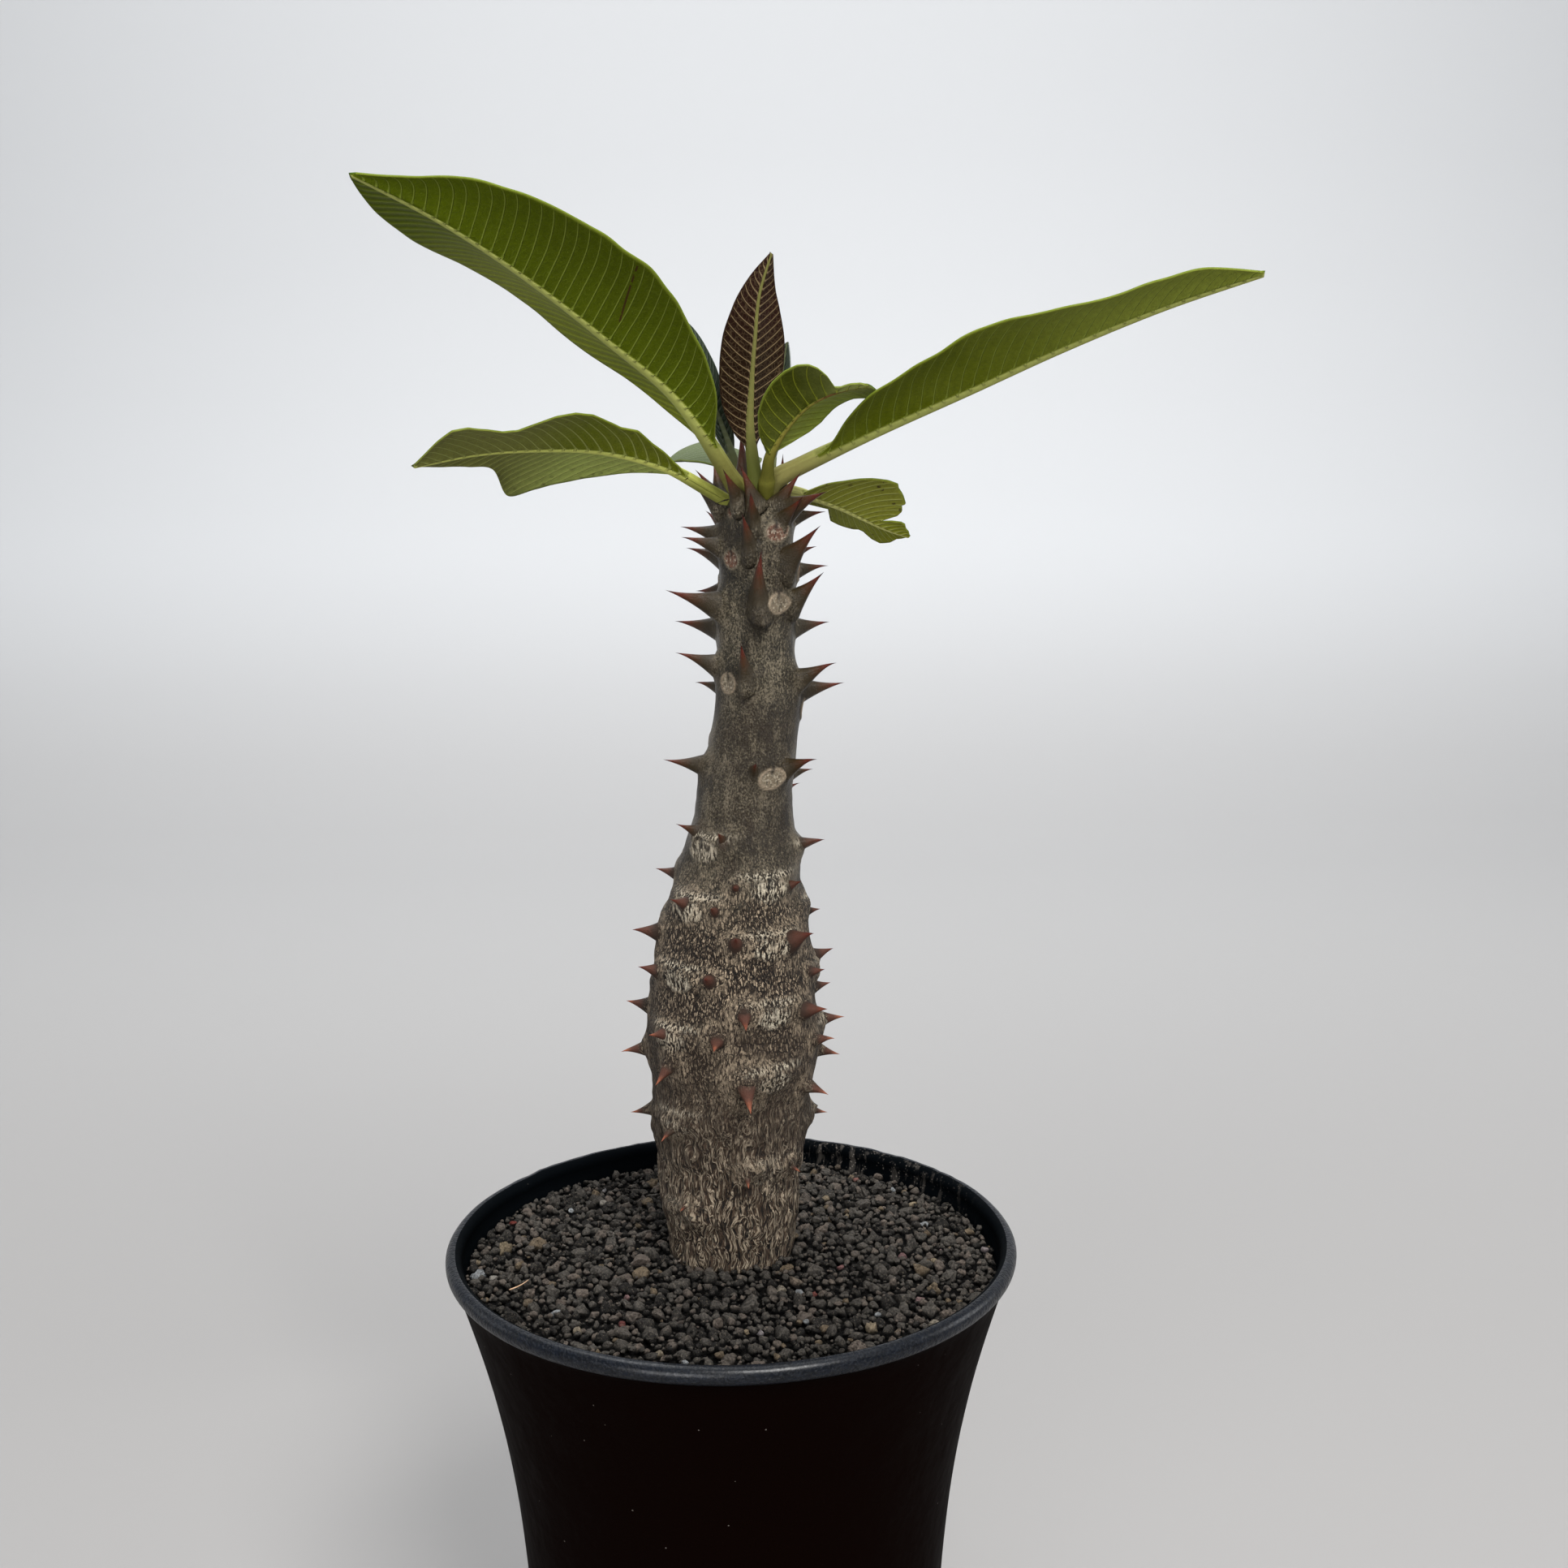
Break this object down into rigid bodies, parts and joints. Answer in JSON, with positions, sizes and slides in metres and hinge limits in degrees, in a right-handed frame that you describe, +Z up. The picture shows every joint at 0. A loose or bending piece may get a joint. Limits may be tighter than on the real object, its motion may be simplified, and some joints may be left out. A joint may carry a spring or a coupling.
{
  "type": "potted pachypodium baronii",
  "caption": "Young pachypodium with a swollen spiny stem, a crown of long leaves and a bed of dark gravel in a flared round pot.",
  "frame": {"origin": "centre of the pot's flat underside, where the pot stands", "axes": "+Z up along the pot's axis; +X to the right and -Y to the front of the pictured side"},
  "size_m": [0.1564, 0.1342, 0.3302],
  "materials": {
    "pot_plastic": "black plastic with a blue cast, satin, with a fine orange-peel texture on the rim",
    "gravel": "dark porous volcanic gravel with a few brown, grey and red grains",
    "bark": "grey-brown bark with fine pale fissures, pale scars and red-brown spines",
    "leaf_green": "olive-green leaf with a thick pale midrib and fine pale veins",
    "leaf_young_brown": "maroon-brown young leaf with silvery veins",
    "leaf_young_grey": "dark grey-green young leaf with silvery edges"
  },
  "bodies": {
    "root": {"pot": "pot_plastic", "gravel": "gravel", "stem": "bark", "leaf_large_left": "leaf_green", "leaf_low_left": "leaf_green", "leaf_young_middle": "leaf_young_brown", "leaf_young_behind_left": "leaf_young_grey", "leaf_young_behind_right": "leaf_young_grey", "leaf_small_curled": "leaf_green", "leaf_large_right": "leaf_green", "leaf_low_right": "leaf_green", "leaf_back": "leaf_green"}
  },
  "joints": []
}
